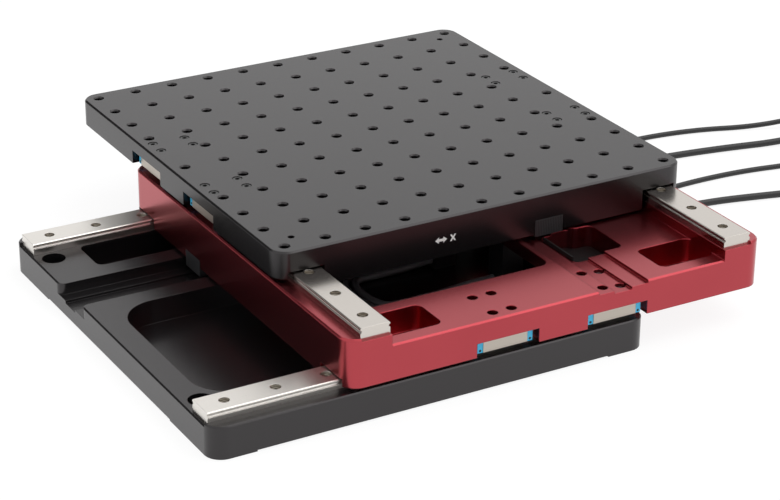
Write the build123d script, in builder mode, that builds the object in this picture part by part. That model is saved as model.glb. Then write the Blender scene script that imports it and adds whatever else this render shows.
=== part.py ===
# Motorized two-axis stage: three square plates stacked on crossed pairs of linear rails.
# The base stays put, the middle plate travels along X and the top plate along Y.
# Millimetres, +Z up. The origin is the centre of the base's underside.
# At rest both plates stand at the positive end of their travel.
import math
import os

from build123d import *

# Plates
plate_side = 272.0
plate_corner = 10.0
edge_break = 1.0
base_edge_break = 0.8

# Rails and carriages
rail_span = 236.0
rail_width = 18.0
rail_height = 7.0
rail_length = 268.0
rail_hole_count = 9
rail_hole_pitch = 30.0
rail_bore = 3.5
rail_counterbore = 6.0
rail_counterbore_depth = 4.5
rail_top_chamfer = 0.5
rail_groove_r = 0.9
rail_groove_drop = 2.2
carriage_width = 30.0
carriage_body = 28.4
carriage_cap = 3.5
carriage_height = 12.0
carriage_lift = 4.0
carriage_span = 72.0
carriage_edge = 0.6
cap_inset = 0.4
rail_gap = 0.3
rail_top_gap = 0.5

# Screws
screw_across = 21.0
screw_along = 12.0
screw_shank = 3.0
screw_head = 5.5
screw_head_height = 3.0
screw_play = 0.1
screw_counterbore = 6.0
screw_web = 4.6
rail_screw_reach = 6.0
carriage_screw_reach = 3.5

# Travel, measured from the middle to each hard stop
half_travel = 79.0
stop_gap = 0.3

# Heights
pad_height = 0.8
base_seat = 17.5
strip_rise = 1.5
seat_to_seat = 30.75
deck_drop = 6.15
top_cover = 7.85
wall_gap = 2.1
skirt_gap = 1.6
rail_notch_gap = 0.85
deck_thickness = 8.1
top_thickness = 10.0

# Room around the rails and carriages
rail_notch_side = 2.3
rail_ledge_gap = 0.3
pocket_side = 0.5
pocket_end = 2.3
pocket_rib = 3.6
skirt_thickness = 8.0
skirt_side_gap = 1.8

# Base plate
pad_width = 26.0
pad_length = 52.0
pocket_floor = 2.5
loop_pocket_side = 121.0
loop_pocket_front = -101.0
loop_pocket_back = 20.8
loop_pocket_r = 23.0
back_pocket_side = 106.0
back_pocket_front = 77.5
back_pocket_back = 108.0
back_pocket_r = 5.0
drive_slot_front = 33.5
drive_slot_back = 64.7
drive_slot_floor = 10.6
drive_slot_mouth_r = 4.5
drive_groove_front = 43.0
drive_groove_back = 57.0
drive_groove_floor = 8.9
mount_spacing_x = 250.0
mount_spacing_y = 200.0
mount_bore = 6.6
mount_counterbore = 14.0
mount_counterbore_depth = 7.0

# Middle plate, measured from its own centre
recess_left = 23.0
recess_right = 56.0
recess_depth = 1.8
groove_left = 33.3
groove_right = 45.0
groove_depth = 3.3
window_left = -100.0
window_right = 19.4
window_front = -91.4
window_back = 18.0
window_r = 6.0
slot_left = 36.5
slot_neck_right = 57.0
slot_right = 69.3
slot_front = -92.0
slot_step = -58.0
slot_back = -53.5
slot_r = 4.0
slot_rim = 3.0
slot_rim_depth = 5.0
slot_cover = 2.0
slot_lip = 1.0
slot_lip_drop = 1.2
slot_lip_gap = 0.2
pocket_inner = 71.9
pocket_front = -126.5
pocket_back = -100.0
pocket_depth = 14.7
pocket_r = 4.5

# Top plate
hole_pitch = 25.4
hole_rows = 11
hole_bore = 5.4
hole_mouth = 6.9
hole_depth = 7.0
dowel_x = 118.2
dowel_y = 118.2
dowel_bore = 4.0
dowel_depth = 5.0

# Linear motors: a magnet track under each moving plate straddles a fixed coil
x_drive_y = 52.5
y_drive_x = 41.0
track_width = 19.0
track_height = 10.4
track_wall = 3.5
track_web = 2.5
track_cap = 5.0
track_rib_side = 3.0
track_slot_gap = 0.2
x_track_drop = 4.0
magnet_thickness = 2.0
magnet_height = 6.0
coil_thickness = 5.0
coil_foot_width = 8.0
coil_foot_height = 1.5
coil_top_gap = 1.0
bumper_thickness = 4.0

# Position scales and their reading heads
x_scale_y = 27.0
y_scale_x = 80.0
scale_width = 8.0
scale_thickness = 1.0
scale_rib_side = 1.5
scale_gap = 0.8
head_length = 30.0
head_width = 12.0
head_height = 5.8
head_chamfer = 1.0

# Flying leads out of the base's right side
motor_lead = 3.6
encoder_lead = 4.6
lead_play = 0.1
gland_height = 9.5
gland_flange = 10.0
gland_flange_thickness = 2.5
gland_wall = 1.1
gland_length = 9.0
x_motor_gland_y = 98.0
x_encoder_gland_y = 80.0
y_motor_gland_y = 18.0
y_encoder_gland_y = 4.0
connector_diameter = 12.0
connector_nut_diameter = 13.6
connector_nut_length = 10.0
connector_length = 36.0
connector_tail = 9.0
connector_lip = 0.6

# Cable loops between the base and the middle plate
loop_base_y = 15.5
loop_spacing = 5.0
loop_bend_r = 25.0
loop_run = 51.0
loop_height = 7.0
clamp_length = 14.0
clamp_height = 4.5
clamp_side = 3.0
clamp_under = 0.9
clamp_wall_gap = 7.0
clamp_corner_gap = 3.0

# Modelling
bend_share = 0.45
table_gap = 0.1
tolerance = 0.01

# Worked-out heights and places
rail_outer = rail_span / 2 + rail_width / 2
rail_inner = rail_span / 2 - rail_width / 2
base_strip = base_seat + strip_rise
mid_seat = base_seat + seat_to_seat
mid_land = mid_seat + strip_rise
mid_deck = mid_seat - deck_drop
mid_under = mid_deck - deck_thickness
mid_wall = base_strip + wall_gap
mid_skirt = base_seat + skirt_gap
top_ceiling = mid_seat + carriage_height
top_face = top_ceiling + top_cover
top_under = top_face - top_thickness
top_wall = mid_land + wall_gap
top_skirt = mid_deck + skirt_gap
half_side = plate_side / 2
hollow_end = half_side - skirt_thickness
notch_width = rail_width + 2 * rail_notch_side
skirt_reach = rail_inner - rail_ledge_gap - skirt_side_gap
carriage_length = carriage_body + 2 * carriage_cap
carriage_pocket_length = carriage_length + 2 * pocket_end
carriage_pocket_inner = rail_span / 2 - carriage_width / 2 - pocket_side
hollow_reach = carriage_pocket_inner - pocket_rib
x_track_low = base_seat - x_track_drop
y_track_low = mid_deck
track_inner = half_side - track_cap
coil_half = track_inner - half_travel - stop_gap - bumper_thickness
x_scale_low = base_seat + head_height + scale_gap
y_scale_low = mid_deck + head_height + scale_gap
slot_rim_low = mid_under - slot_rim_depth
slot_rim_box = (slot_left - slot_rim, slot_right + slot_rim, slot_front - slot_rim, slot_back + slot_rim)
loop_mid_clamp_x = loop_pocket_side - clamp_wall_gap - clamp_length / 2
loop_clamp_x = loop_pocket_side - loop_pocket_r - clamp_corner_gap - clamp_length / 2
loop_bend_x = loop_clamp_x + clamp_length / 2 - loop_run

# A frame's local X runs along the travel, its local Y across it, its Z up from the rail seat
x_fixed = Plane(origin=(0, 0, base_seat), x_dir=(1, 0, 0), z_dir=(0, 0, 1))
x_moving = Plane(origin=(half_travel, 0, base_seat), x_dir=(1, 0, 0), z_dir=(0, 0, 1))
y_fixed = Plane(origin=(half_travel, 0, mid_seat), x_dir=(0, 1, 0), z_dir=(0, 0, 1))
y_moving = Plane(origin=(half_travel, half_travel, mid_seat), x_dir=(0, 1, 0), z_dir=(0, 0, 1))
mid_plane = Plane(origin=(half_travel, 0, 0))
top_plane = Plane(origin=(half_travel, half_travel, 0))

ends = (-1, 1)


def save(piece, name):
    piece.part.label = name
    export_step(piece.part, f"parts/{name}.step")


def section(frame, along):
    """Plane across the travel: local X is across, local Y is up."""
    return Plane(origin=frame.from_local_coords((along, 0, 0)), x_dir=frame.y_dir, z_dir=frame.x_dir)


def block(left, right, front, back):
    """Rectangle between four edges, for use inside a sketch."""
    with Locations(((left + right) / 2, (front + back) / 2)):
        Rectangle(right - left, back - front)


def rounded_block(left, right, front, back, radius):
    """Rounded rectangle between four edges, for use inside a sketch."""
    with Locations(((left + right) / 2, (front + back) / 2)):
        RectangleRounded(right - left, back - front, radius)


def rail_profile(across):
    """Rail section with broken top edges and a ball groove down each side."""
    with Locations((across, rail_height / 2)):
        body = Rectangle(rail_width, rail_height)
    chamfer(body.vertices().group_by(Axis.Y)[-1], rail_top_chamfer)
    groove_height = rail_height - rail_groove_drop
    with Locations((across - rail_width / 2, groove_height), (across + rail_width / 2, groove_height)):
        Circle(rail_groove_r, mode=Mode.SUBTRACT)


def make_rail(frame, side):
    """One guide rail, counterbored for its screws."""
    across = side * rail_span / 2
    with BuildPart() as rail:
        with BuildSketch(section(frame, -rail_length / 2)):
            rail_profile(across)
        extrude(amount=rail_length)
        with Locations(frame.offset(rail_height)):
            with Locations((0, across)):
                with GridLocations(rail_hole_pitch, 1, rail_hole_count, 1):
                    CounterBoreHole(rail_bore / 2, rail_counterbore / 2, rail_counterbore_depth)
    return rail


def make_rail_screws(frame):
    """Cap screws that hold both rails of one axis."""
    head_low = rail_height - rail_counterbore_depth
    with BuildPart() as screws:
        with BuildSketch(frame.offset(-rail_screw_reach)):
            with GridLocations(rail_hole_pitch, rail_span, rail_hole_count, 2):
                Circle(screw_shank / 2)
        extrude(amount=rail_screw_reach + head_low)
        with BuildSketch(frame.offset(head_low)):
            with GridLocations(rail_hole_pitch, rail_span, rail_hole_count, 2):
                Circle(screw_head / 2)
        extrude(amount=screw_head_height)
    return screws


def carriage_section(across, inset):
    """Carriage section: an inverted channel over the rail."""
    width = carriage_width - 2 * inset
    high = carriage_height - inset
    with Locations((across, (carriage_lift + high) / 2)):
        body = Rectangle(width, high - carriage_lift)
    chamfer(body.vertices().group_by(Axis.Y)[-1], carriage_edge)
    opening_top = rail_height + rail_top_gap + inset
    with Locations((across, (carriage_lift + opening_top) / 2)):
        Rectangle(rail_width + 2 * rail_gap, opening_top - carriage_lift, mode=Mode.SUBTRACT)
    ball_height = rail_height - rail_groove_drop
    for side in ends:
        with Locations((across + side * (rail_width / 2 + rail_gap), ball_height)):
            Circle(rail_groove_r - rail_gap)


def make_carriage(frame, along, side):
    """One steel carriage body, with threaded holes for its four screws."""
    across = side * rail_span / 2
    with BuildPart() as carriage:
        with BuildSketch(section(frame, along - carriage_body / 2)):
            carriage_section(across, 0)
        extrude(amount=carriage_body)
        with BuildSketch(frame.offset(carriage_height)):
            with Locations((along, across)):
                with GridLocations(screw_along, screw_across, 2, 2):
                    Circle((screw_shank + screw_play) / 2)
        extrude(amount=-carriage_screw_reach, mode=Mode.SUBTRACT)
    return carriage


def make_caps(frame, along, side):
    """Moulded end caps of one carriage."""
    across = side * rail_span / 2
    with BuildPart() as caps:
        for start in (-carriage_length / 2, carriage_body / 2):
            with BuildSketch(section(frame, along + start)):
                carriage_section(across, cap_inset)
            extrude(amount=carriage_cap)
    return caps


def make_carriage_screws(frame, seat_height):
    """Cap screws down through a moving plate into its four carriages."""
    reach = seat_height - carriage_height + carriage_screw_reach
    with BuildPart() as screws:
        with GridLocations(carriage_span, rail_span, 2, 2) as centres:
            spots = [tuple(place.position)[:2] for place in centres.locations]
        with BuildSketch(frame.offset(seat_height)):
            with Locations(*spots):
                with GridLocations(screw_along, screw_across, 2, 2):
                    Circle(screw_shank / 2)
        extrude(amount=-reach)
        with BuildSketch(frame.offset(seat_height)):
            with Locations(*spots):
                with GridLocations(screw_along, screw_across, 2, 2):
                    Circle(screw_head / 2)
        extrude(amount=screw_head_height)
    return screws


def screw_holes(frame, face, seat_height):
    """Counterbored holes over the carriages, cut into the plate being built."""
    with Locations(frame.offset(face)):
        with GridLocations(carriage_span, rail_span, 2, 2):
            with GridLocations(screw_along, screw_across, 2, 2):
                CounterBoreHole(
                    (screw_shank + screw_play) / 2,
                    screw_counterbore / 2,
                    face - seat_height,
                    face - carriage_height,
                )


def rail_threads(frame):
    """Threaded holes under both rails, cut into the plate being built."""
    with BuildSketch(frame) as holes:
        with GridLocations(rail_hole_pitch, rail_span, rail_hole_count, 2):
            Circle((screw_shank + screw_play) / 2)
    extrude(holes.sketch, amount=-rail_screw_reach, mode=Mode.SUBTRACT)


def track_section(across, low):
    """Magnet track section: a channel that opens downward."""
    with Locations((across, low + track_height / 2)):
        Rectangle(track_width, track_height)
    with Locations((across, low + (track_height - track_web) / 2)):
        Rectangle(track_width - 2 * track_wall, track_height - track_web, mode=Mode.SUBTRACT)


def make_track(frame, across, low):
    """Steel channel of the magnet track."""
    with BuildPart() as track:
        with BuildSketch(section(frame, -track_inner)):
            track_section(across, low)
        extrude(amount=2 * track_inner)
    return track


def make_track_caps(frame, across, low):
    """End plugs that close the magnet track and meet the bumpers at each stop."""
    with BuildPart() as caps:
        for start in (-half_side, track_inner):
            with BuildSketch(section(frame, start)):
                with Locations((across, low + track_height / 2)):
                    Rectangle(track_width, track_height)
            extrude(amount=track_cap)
    return caps


def make_magnets(frame, across, low):
    """Two facing rows of magnets inside the track."""
    reach = track_width / 2 - track_wall - magnet_thickness / 2
    top = low + track_height - track_web
    with BuildPart() as magnets:
        with BuildSketch(section(frame, -track_inner)):
            with Locations((across - reach, top - magnet_height / 2), (across + reach, top - magnet_height / 2)):
                Rectangle(magnet_thickness, magnet_height)
        extrude(amount=2 * track_inner)
    return magnets


def coil_section(across, floor, low):
    """Coil section: a blade that stands on a foot inside the track."""
    top = low + track_height - track_web - coil_top_gap
    with Locations((across, (floor + top) / 2)):
        Rectangle(coil_thickness, top - floor)
    with Locations((across, floor + coil_foot_height / 2)):
        Rectangle(coil_foot_width, coil_foot_height)


def make_coil(frame, across, floor, low):
    """Stationary motor coil."""
    with BuildPart() as coil:
        with BuildSketch(section(frame, -coil_half)):
            coil_section(across, floor, low)
        extrude(amount=2 * coil_half)
    return coil


def make_bumpers(frame, across, low):
    """Rubber bumpers on both ends of the coil."""
    top = low + track_height - track_web - coil_top_gap
    with BuildPart() as bumpers:
        for start in (-coil_half - bumper_thickness, coil_half):
            with BuildSketch(section(frame, start)):
                with Locations((across, (low + top) / 2)):
                    Rectangle(coil_thickness, top - low)
            extrude(amount=bumper_thickness)
    return bumpers


def make_scale(frame, across, low):
    """Graduated scale under a moving plate."""
    with BuildPart() as scale:
        with BuildSketch(section(frame, -hollow_end)):
            with Locations((across, low + scale_thickness / 2)):
                Rectangle(scale_width, scale_thickness)
        extrude(amount=2 * hollow_end)
    return scale


def make_head(frame, across, floor):
    """Reading head under the scale."""
    with BuildPart() as head:
        with BuildSketch(frame.offset(floor)):
            with Locations((0, across)):
                Rectangle(head_length, head_width)
        extrude(amount=head_height)
        chamfer(head.faces().sort_by(Axis.Z)[-1].edges(), head_chamfer)
    return head


def route_radii(points):
    """Largest tidy bend radius at each inner point of a cable route."""
    radii = []
    for before, here, after in zip(points, points[1:], points[2:]):
        come = Vector(*here) - Vector(*before)
        go = Vector(*after) - Vector(*here)
        turn = math.radians(come.get_angle(go))
        radii.append(bend_share * min(come.length, go.length) / math.tan(turn / 2))
    return radii


def make_lead(points, diameter):
    """Round cable along straight runs joined by tangent arcs."""
    radii = route_radii(points)
    with BuildPart() as lead:
        with BuildLine() as route:
            FilletPolyline(*points, radius=radii)
        with BuildSketch(Plane(origin=route.line @ 0, z_dir=route.line % 0)):
            Circle(diameter / 2)
        sweep(path=route.line)
    length = sum(edge.length for edge in route.edges())
    print(f"cable length {length:.1f}, smallest bend {min(radii):.1f}")
    return lead


def make_connector(tip, heading, diameter):
    """Round in-line connector on the far end of a lead of that diameter."""
    nut_start = connector_length - connector_nut_length
    up = Vector(0, 0, 1)
    with BuildPart() as connector:
        with BuildSketch(Plane(origin=tip, x_dir=up, z_dir=up.cross(heading))):
            with BuildLine():
                Polyline(
                    (0, 0),
                    (diameter / 2 + connector_lip, 0),
                    (connector_diameter / 2, connector_tail),
                    (connector_diameter / 2, nut_start),
                    (connector_nut_diameter / 2, nut_start),
                    (connector_nut_diameter / 2, connector_length),
                    (0, connector_length),
                    close=True,
                )
            make_face()
        revolve(axis=Axis(tip, heading))
    return connector


def make_loop(inward, diameter):
    """Cable loop that lies in the base pocket, its bend following the middle plate."""
    bend_r = loop_bend_r - inward
    fixed_y = loop_base_y - inward
    moving_y = fixed_y - 2 * bend_r
    start = loop_clamp_x + clamp_length / 2
    clamp_face = loop_mid_clamp_x - clamp_length / 2
    with BuildPart() as loop:
        with BuildLine() as route:
            Line((start, fixed_y, loop_height), (loop_bend_x, fixed_y, loop_height))
            ThreePointArc(
                (loop_bend_x, fixed_y, loop_height),
                (loop_bend_x - bend_r, fixed_y - bend_r, loop_height),
                (loop_bend_x, moving_y, loop_height),
            )
            Line((loop_bend_x, moving_y, loop_height), (clamp_face, moving_y, loop_height))
        with BuildSketch(Plane(origin=route.line @ 0, z_dir=route.line % 0)):
            Circle(diameter / 2)
        sweep(path=route.line)
    return loop


def slab(side_x, side_y, low, high, plane):
    """Centred block between two heights, cut out of the plate being built."""
    with BuildSketch(plane.offset(low)) as outline:
        Rectangle(side_x, side_y)
    extrude(outline.sketch, amount=high - low, mode=Mode.SUBTRACT)


def carriage_pockets(frame, low):
    """Room for four carriages, open through the side walls of the plate being built."""
    inner = carriage_pocket_inner
    with BuildSketch(frame.offset(low)) as outline:
        for side in ends:
            for along in (-carriage_span / 2, carriage_span / 2):
                with Locations((along, side * (inner + half_side) / 2)):
                    Rectangle(carriage_pocket_length, half_side - inner)
    extrude(outline.sketch, amount=carriage_height - low, mode=Mode.SUBTRACT)


def rail_channels(frame, low):
    """Channels over both rails, through both end walls of the plate being built."""
    high = rail_height + rail_notch_gap
    with BuildSketch(section(frame, -half_side)) as outline:
        with Locations((-rail_span / 2, (low + high) / 2), (rail_span / 2, (low + high) / 2)):
            Rectangle(notch_width, high - low)
    extrude(outline.sketch, amount=plate_side, mode=Mode.SUBTRACT)


def track_seat(frame, across, low, under):
    """Rib that carries a magnet track, and its slots through both skirts."""
    top = low + track_height
    with BuildSketch(section(frame, -half_side)) as rib:
        with Locations((across, (top + under) / 2)):
            Rectangle(track_width + 2 * track_rib_side, under - top)
    extrude(rib.sketch, amount=plate_side)
    with BuildSketch(section(frame, -half_side)) as slot:
        with Locations((across, (low + top) / 2)):
            Rectangle(track_width + 2 * track_slot_gap, track_height)
    extrude(slot.sketch, amount=plate_side, mode=Mode.SUBTRACT)


def lattice_spots():
    """Places of the top plate's threaded holes, measured from its centre."""
    last = (hole_rows - 1) // 2
    steps = range(-last, last + 1)
    return [
        (column * hole_pitch, row * hole_pitch)
        for column in steps
        for row in steps
        if not (abs(column) == last and abs(row) == 1)
    ]


def scale_seat(frame, across, low, under):
    """Rib that carries a scale."""
    top = low + scale_thickness
    with BuildSketch(section(frame, -hollow_end)) as rib:
        with Locations((across, (top + under) / 2)):
            Rectangle(scale_width + 2 * scale_rib_side, under - top)
    extrude(rib.sketch, amount=2 * hollow_end)


os.makedirs("parts", exist_ok=True)

# Base plate: a block with raised strips outside the rails and pads under its corners
with BuildPart() as base_plate:
    with BuildSketch(Plane.XY.offset(pad_height)):
        RectangleRounded(plate_side, plate_side, plate_corner)
    extrude(amount=base_strip - pad_height)
    chamfer(base_plate.faces().sort_by(Axis.Z)[-1].edges(), base_edge_break)
    slab(plate_side, 2 * rail_outer, base_seat, base_strip, Plane.XY)
    side_edges = base_plate.edges().filter_by(Axis.Y).filter_by(
        lambda edge: abs(edge.center().Z - base_seat) < tolerance
    )
    chamfer(side_edges, base_edge_break)
    with BuildSketch():
        RectangleRounded(plate_side, plate_side, plate_corner)
        Rectangle(plate_side - 2 * pad_width, plate_side, mode=Mode.SUBTRACT)
        Rectangle(plate_side, plate_side - 2 * pad_length, mode=Mode.SUBTRACT)
    extrude(amount=pad_height)
    # Drive slot along X, with a deeper groove and rounded mouths
    with BuildSketch(Plane.XY.offset(drive_slot_floor)):
        block(-half_side, half_side, drive_slot_front, drive_slot_back)
    extrude(amount=base_strip - drive_slot_floor, mode=Mode.SUBTRACT)
    mouth = base_plate.edges().filter_by(Axis.Z).filter_by(
        lambda edge: abs(edge.center().X) > half_side - tolerance
        and drive_slot_front - tolerance < edge.center().Y < drive_slot_back + tolerance
        and edge.center().Z > drive_slot_floor
    )
    fillet(mouth, drive_slot_mouth_r)
    with BuildSketch(Plane.XY.offset(drive_groove_floor)):
        block(-half_side, half_side, drive_groove_front, drive_groove_back)
    extrude(amount=drive_slot_floor - drive_groove_floor, mode=Mode.SUBTRACT)
    # Pockets
    with BuildSketch(Plane.XY.offset(pocket_floor)):
        rounded_block(
            -loop_pocket_side, loop_pocket_side, loop_pocket_front, loop_pocket_back, loop_pocket_r
        )
        rounded_block(
            -back_pocket_side, back_pocket_side, back_pocket_front, back_pocket_back, back_pocket_r
        )
    extrude(amount=base_strip - pocket_floor, mode=Mode.SUBTRACT)
    # Mounting holes and rail threads
    with Locations(Plane.XY.offset(base_seat)):
        with GridLocations(mount_spacing_x, mount_spacing_y, 2, 2):
            CounterBoreHole(mount_bore / 2, mount_counterbore / 2, mount_counterbore_depth)
    rail_threads(x_fixed)
save(base_plate, "base_plate")

# Middle plate: rides on the base's rails along X and carries the rails of the Y axis
with BuildPart() as mid_plate:
    with BuildSketch(mid_plane.offset(mid_skirt)):
        RectangleRounded(plate_side, plate_side, plate_corner)
    extrude(amount=mid_land - mid_skirt)
    chamfer(mid_plate.faces().sort_by(Axis.Z)[-1].edges(), edge_break)
    # Rail seats, then the sunken deck between them
    slab(2 * rail_outer, plate_side, mid_seat, mid_land, mid_plane)
    slab(2 * (rail_inner - rail_ledge_gap), plate_side, mid_deck, mid_seat, mid_plane)
    deck_ends = mid_plate.edges().filter_by(Axis.X).filter_by(
        lambda edge: abs(edge.center().Z - mid_deck) < tolerance
        and abs(abs(edge.center().Y) - half_side) < tolerance
    )
    chamfer(deck_ends, edge_break)
    # Underside: raised outer walls, then the hollow between the carriages
    for side in ends:
        with BuildSketch(mid_plane.offset(mid_skirt)):
            with Locations((0, side * (skirt_reach + half_side) / 2)):
                Rectangle(plate_side, half_side - skirt_reach)
        extrude(amount=mid_wall - mid_skirt, mode=Mode.SUBTRACT)
    slab(2 * hollow_end, 2 * hollow_reach, mid_skirt, mid_under, mid_plane)
    track_seat(x_moving, x_drive_y, x_track_low - base_seat, mid_under - base_seat)
    scale_seat(x_moving, x_scale_y, x_scale_low - base_seat, mid_under - base_seat)
    rail_channels(x_moving, mid_skirt - base_seat)
    carriage_pockets(x_moving, mid_skirt - base_seat)
    # Drive recess from front to back, with a deeper groove
    with BuildSketch(mid_plane.offset(mid_deck - recess_depth)):
        block(recess_left, recess_right, -half_side, half_side)
    extrude(amount=mid_seat - mid_deck + recess_depth, mode=Mode.SUBTRACT)
    with BuildSketch(mid_plane.offset(mid_deck - groove_depth)):
        block(groove_left, groove_right, -half_side, half_side)
    extrude(amount=groove_depth, mode=Mode.SUBTRACT)
    # Cable window, and beside it the stepped slot with a deeper rim
    with BuildSketch(mid_plane.offset(mid_under)):
        rounded_block(window_left, window_right, window_front, window_back, window_r)
    extrude(amount=mid_seat - mid_under, mode=Mode.SUBTRACT)
    with BuildSketch(mid_plane.offset(slot_rim_low)):
        rounded_block(*slot_rim_box, slot_r)
    extrude(amount=mid_under - slot_rim_low)
    with BuildSketch(mid_plane.offset(slot_rim_low)):
        with BuildLine():
            FilletPolyline(
                (slot_left, slot_front),
                (slot_right, slot_front),
                (slot_right, slot_step),
                (slot_neck_right, slot_step),
                (slot_neck_right, slot_back),
                (slot_left, slot_back),
                radius=slot_r,
                close=True,
            )
        make_face()
    extrude(amount=mid_seat - slot_rim_low, mode=Mode.SUBTRACT)
    # Corner pockets beside the rails
    with BuildSketch(mid_plane.offset(mid_deck - pocket_depth)):
        ledge = rail_inner - rail_ledge_gap
        for side in ends:
            for turn in ends:
                left, right = sorted((side * pocket_inner, side * ledge))
                front, back = sorted((-turn * pocket_front, -turn * pocket_back))
                rounded_block(left, right, front, back, pocket_r)
    extrude(amount=pocket_depth, mode=Mode.SUBTRACT)
    screw_holes(x_moving, mid_deck - base_seat, carriage_height + screw_web)
    rail_threads(y_fixed)
save(mid_plate, "mid_plate")

# Cover that closes the slot from below, with a lip along the slot's left side
with BuildPart() as mid_slot_cover:
    with BuildSketch(mid_plane.offset(slot_rim_low - slot_cover)):
        rounded_block(*slot_rim_box, slot_r)
    extrude(amount=slot_cover)
    with BuildSketch(mid_plane.offset(slot_rim_low)):
        block(
            slot_left + slot_lip_gap,
            slot_left + slot_lip_gap + slot_lip,
            slot_front + slot_r,
            slot_back - slot_r,
        )
    extrude(amount=mid_deck - slot_lip_drop - slot_rim_low)
save(mid_slot_cover, "mid_slot_cover")

# Top plate: a breadboard that rides on the middle plate's rails along Y
with BuildPart() as top_plate:
    with BuildSketch(top_plane.offset(top_skirt)):
        RectangleRounded(plate_side, plate_side, plate_corner)
    extrude(amount=top_face - top_skirt)
    chamfer(top_plate.faces().sort_by(Axis.Z)[-1].edges(), edge_break)
    for side in ends:
        with BuildSketch(top_plane.offset(top_skirt)):
            with Locations((side * (skirt_reach + half_side) / 2, 0)):
                Rectangle(half_side - skirt_reach, plate_side)
        extrude(amount=top_wall - top_skirt, mode=Mode.SUBTRACT)
    slab(2 * hollow_reach, 2 * hollow_end, top_skirt, top_under, top_plane)
    track_seat(y_moving, -y_drive_x, y_track_low - mid_seat, top_under - mid_seat)
    scale_seat(y_moving, -y_scale_x, y_scale_low - mid_seat, top_under - mid_seat)
    rail_channels(y_moving, top_skirt - mid_seat)
    carriage_pockets(y_moving, top_skirt - mid_seat)
    # Threaded lattice; the four places over the carriage screws stay plain
    with Locations(top_plane.offset(top_face)):
        with Locations(*lattice_spots()):
            CounterSinkHole(hole_bore / 2, hole_mouth / 2, hole_depth)
    with BuildSketch(top_plane.offset(top_face)):
        with Locations((-dowel_x, -dowel_y), (dowel_x, dowel_y)):
            Circle(dowel_bore / 2)
    extrude(amount=-dowel_depth, mode=Mode.SUBTRACT)
    screw_holes(y_moving, top_face - mid_seat, carriage_height + screw_web)
save(top_plate, "top_plate")

# Rails and their screws
save(make_rail(x_fixed, -1), "base_rail_front")
save(make_rail(x_fixed, 1), "base_rail_back")
save(make_rail_screws(x_fixed), "base_rail_screws")
save(make_rail(y_fixed, 1), "mid_rail_left")
save(make_rail(y_fixed, -1), "mid_rail_right")
save(make_rail_screws(y_fixed), "mid_rail_screws")

# Carriages with their caps; the frame of the Y axis has its local Y towards the left
x_places = {"front_left": (-1, -1), "front_right": (1, -1), "back_left": (-1, 1), "back_right": (1, 1)}
y_places = {"front_left": (-1, 1), "front_right": (-1, -1), "back_left": (1, 1), "back_right": (1, -1)}
for axis_name, frame, places in (("x", x_moving, x_places), ("y", y_moving, y_places)):
    for place, (along, side) in places.items():
        middle = along * carriage_span / 2
        save(make_carriage(frame, middle, side), f"{axis_name}_carriage_{place}")
        save(make_caps(frame, middle, side), f"{axis_name}_caps_{place}")
save(make_carriage_screws(x_moving, carriage_height + screw_web), "x_carriage_screws")
save(make_carriage_screws(y_moving, carriage_height + screw_web), "y_carriage_screws")

# Linear motors
x_low = x_track_low - base_seat
y_low = y_track_low - mid_seat
save(make_track(x_moving, x_drive_y, x_low), "x_magnet_track")
save(make_track_caps(x_moving, x_drive_y, x_low), "x_track_caps")
save(make_magnets(x_moving, x_drive_y, x_low), "x_magnets")
save(make_coil(x_fixed, x_drive_y, drive_groove_floor - base_seat, x_low), "x_coil")
save(make_bumpers(x_fixed, x_drive_y, x_low), "x_bumpers")
save(make_track(y_moving, -y_drive_x, y_low), "y_magnet_track")
save(make_track_caps(y_moving, -y_drive_x, y_low), "y_track_caps")
save(make_magnets(y_moving, -y_drive_x, y_low), "y_magnets")
save(make_coil(y_fixed, -y_drive_x, mid_deck - groove_depth - mid_seat, y_low), "y_coil")
save(make_bumpers(y_fixed, -y_drive_x, y_low), "y_bumpers")

# Scales and reading heads
save(make_scale(x_moving, x_scale_y, x_scale_low - base_seat), "x_scale")
save(make_head(x_fixed, x_scale_y, 0), "x_read_head")
save(make_scale(y_moving, -y_scale_x, y_scale_low - mid_seat), "y_scale")
save(make_head(y_fixed, -y_scale_x, -deck_drop), "y_read_head")

# Cable loops in the base pocket, each with a clamp at both ends
save(make_loop(0, motor_lead), "y_motor_loop")
save(make_loop(loop_spacing, encoder_lead), "y_encoder_loop")
clamp_width = loop_spacing + encoder_lead + 2 * clamp_side
fixed_middle = loop_base_y - loop_spacing / 2
moving_middle = loop_base_y - 2 * loop_bend_r + loop_spacing / 2
with BuildPart() as base_loop_clamp:
    with BuildSketch(Plane.XY.offset(pocket_floor)):
        with Locations((loop_clamp_x, fixed_middle)):
            Rectangle(clamp_length, clamp_width)
    extrude(amount=loop_height + clamp_height - pocket_floor)
    with BuildSketch(Plane.YZ.offset(loop_clamp_x - clamp_length / 2)):
        with Locations((loop_base_y, loop_height)):
            Circle(motor_lead / 2 + lead_play)
        with Locations((loop_base_y - loop_spacing, loop_height)):
            Circle(encoder_lead / 2 + lead_play)
    extrude(amount=clamp_length, mode=Mode.SUBTRACT)
save(base_loop_clamp, "base_loop_clamp")
with BuildPart() as mid_loop_clamp:
    with BuildSketch(Plane.XY.offset(mid_under)):
        with Locations((loop_mid_clamp_x, moving_middle)):
            Rectangle(clamp_length, clamp_width)
    extrude(amount=loop_height - encoder_lead / 2 - clamp_under - mid_under)
save(mid_loop_clamp, "mid_loop_clamp")

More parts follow.
